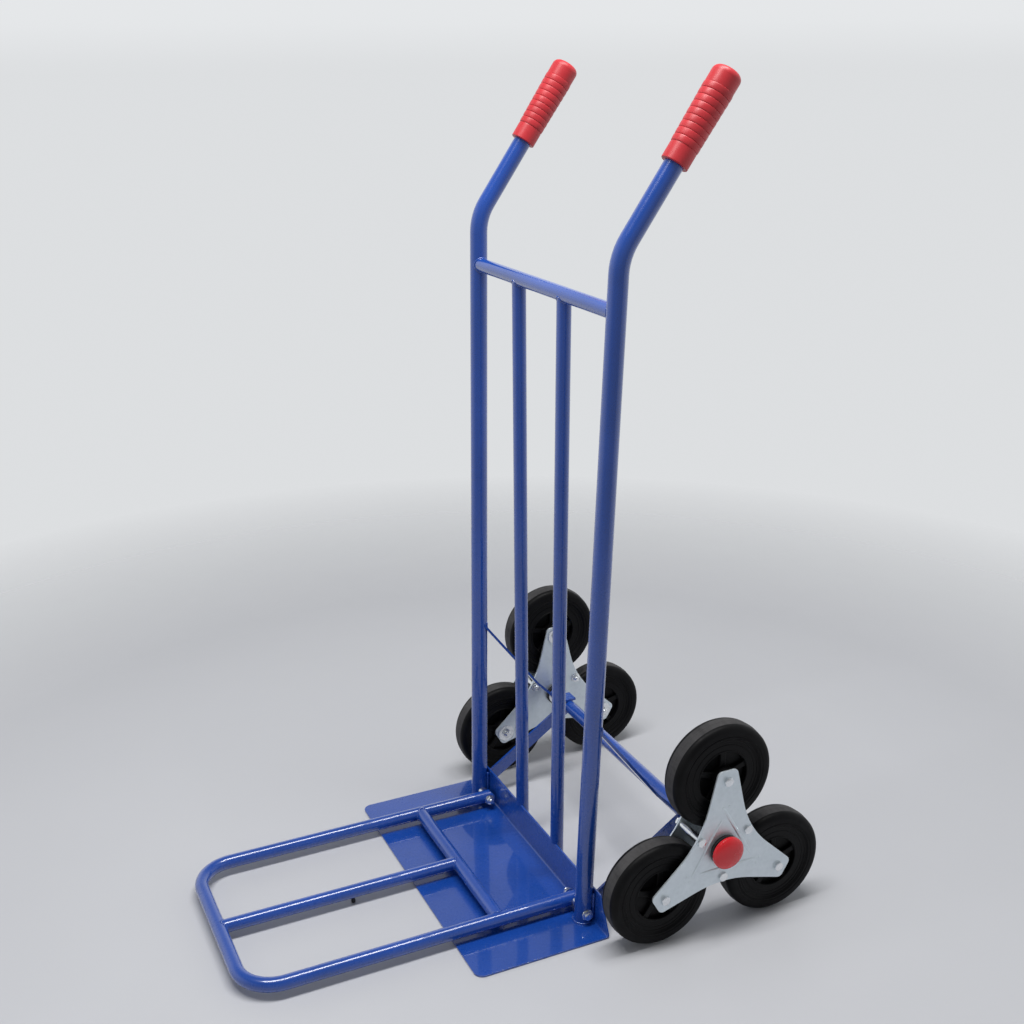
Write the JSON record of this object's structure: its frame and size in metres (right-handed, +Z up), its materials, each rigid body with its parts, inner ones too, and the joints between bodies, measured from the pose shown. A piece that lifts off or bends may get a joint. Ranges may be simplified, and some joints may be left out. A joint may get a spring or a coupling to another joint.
{
  "type": "stair-climbing hand truck",
  "caption": "Stair-climbing sack truck: blue tube frame with red grips, toe plate, fold-down load extension and three-wheel star clusters on a fixed axle",
  "frame": {"origin": "on the floor under the toe plate, at mid width, directly below the feet of the two uprights", "axes": "+Z up along the truck's height, +Y back towards the wheels, -Y towards the toe plate and the extension, +X across the truck towards its right side as seen by someone holding the handles and facing the load"},
  "size_m": [0.64, 0.8763, 1.2304],
  "materials": {
    "blue_coat": "glossy royal blue powder coat, slight orange peel",
    "zinc_plate": "bluish bright zinc plating on rolled sheet, satin",
    "zinc_hardware": "bright zinc plating on fasteners and tubes",
    "grip_red": "satin red soft vinyl with moulded rings",
    "cap_red": "glossy red moulded plastic",
    "tyre_rubber": "black solid rubber, tread dusty from use",
    "rim_plastic": "black moulded plastic, fine grain",
    "bush_nylon": "black nylon, satin",
    "foot_rubber": "dark rubber, matt"
  },
  "bodies": {
    "frame": {"axle": "blue_coat", "axle_washers": "zinc_hardware", "grip_left": "grip_red", "grip_right": "grip_red", "hub_cap_left": "cap_red", "hub_cap_right": "cap_red", "inner_bar_left": "blue_coat", "inner_bar_right": "blue_coat", "lower_brace_left": "blue_coat", "lower_brace_right": "blue_coat", "pivot_bolts": "zinc_hardware", "pivot_nuts": "zinc_hardware", "pivot_spacers": "zinc_hardware", "pivot_washers": "zinc_hardware", "toe_plate": "blue_coat", "top_crossbar": "blue_coat", "upper_brace_left": "blue_coat", "upper_brace_right": "blue_coat", "upright_left": "blue_coat", "upright_right": "blue_coat"},
    "extension": {"cross_tube": "blue_coat", "extension_foot": "foot_rubber", "extension_hoop": "blue_coat", "middle_rail": "blue_coat"},
    "left_cluster": {"cluster_nuts_left": "zinc_hardware", "hub_bushes_left": "bush_nylon", "hub_sleeve_left": "zinc_hardware", "inner_star_plate_left": "zinc_plate", "outer_star_plate_left": "zinc_plate", "spacer_bolts_left": "zinc_hardware", "spacer_tubes_left": "zinc_hardware", "spacer_washers_left": "zinc_hardware", "wheel_axle_bolts_left": "zinc_hardware", "wheel_axle_tubes_left": "zinc_hardware", "wheel_washers_left": "zinc_hardware"},
    "left_top_wheel": {"rim_top_left": "rim_plastic", "tyre_top_left": "tyre_rubber"},
    "left_front_wheel": {"rim_front_left": "rim_plastic", "tyre_front_left": "tyre_rubber"},
    "left_rear_wheel": {"rim_rear_left": "rim_plastic", "tyre_rear_left": "tyre_rubber"},
    "right_cluster": {"cluster_nuts_right": "zinc_hardware", "hub_bushes_right": "bush_nylon", "hub_sleeve_right": "zinc_hardware", "inner_star_plate_right": "zinc_plate", "outer_star_plate_right": "zinc_plate", "spacer_bolts_right": "zinc_hardware", "spacer_tubes_right": "zinc_hardware", "spacer_washers_right": "zinc_hardware", "wheel_axle_bolts_right": "zinc_hardware", "wheel_axle_tubes_right": "zinc_hardware", "wheel_washers_right": "zinc_hardware"},
    "right_top_wheel": {"rim_top_right": "rim_plastic", "tyre_top_right": "tyre_rubber"},
    "right_front_wheel": {"rim_front_right": "rim_plastic", "tyre_front_right": "tyre_rubber"},
    "right_rear_wheel": {"rim_rear_right": "rim_plastic", "tyre_rear_right": "tyre_rubber"}
  },
  "joints": [
    {"name": "extension_fold", "type": "hinge", "parent": "frame", "child": "extension", "pos_m": [0, -0.001, 0.02], "axis": [-1, 0, 0], "range_deg": [0, 90]},
    {"name": "left_cluster_spin", "type": "hinge", "parent": "frame", "child": "left_cluster", "pos_m": [-0.27375, 0.1748, 0.1401], "axis": [1, 0, 0], "continuous": true},
    {"name": "left_top_wheel_spin", "type": "hinge", "parent": "left_cluster", "child": "left_top_wheel", "pos_m": [-0.27375, 0.1748, 0.2543], "axis": [1, 0, 0], "continuous": true},
    {"name": "left_front_wheel_spin", "type": "hinge", "parent": "left_cluster", "child": "left_front_wheel", "pos_m": [-0.27375, 0.0759, 0.083], "axis": [1, 0, 0], "continuous": true},
    {"name": "left_rear_wheel_spin", "type": "hinge", "parent": "left_cluster", "child": "left_rear_wheel", "pos_m": [-0.27375, 0.2737, 0.083], "axis": [1, 0, 0], "continuous": true},
    {"name": "right_cluster_spin", "type": "hinge", "parent": "frame", "child": "right_cluster", "pos_m": [0.27375, 0.1748, 0.1401], "axis": [1, 0, 0], "continuous": true},
    {"name": "right_top_wheel_spin", "type": "hinge", "parent": "right_cluster", "child": "right_top_wheel", "pos_m": [0.27375, 0.1748, 0.2543], "axis": [1, 0, 0], "continuous": true},
    {"name": "right_front_wheel_spin", "type": "hinge", "parent": "right_cluster", "child": "right_front_wheel", "pos_m": [0.27375, 0.0759, 0.083], "axis": [1, 0, 0], "continuous": true},
    {"name": "right_rear_wheel_spin", "type": "hinge", "parent": "right_cluster", "child": "right_rear_wheel", "pos_m": [0.27375, 0.2737, 0.083], "axis": [1, 0, 0], "continuous": true}
  ]
}
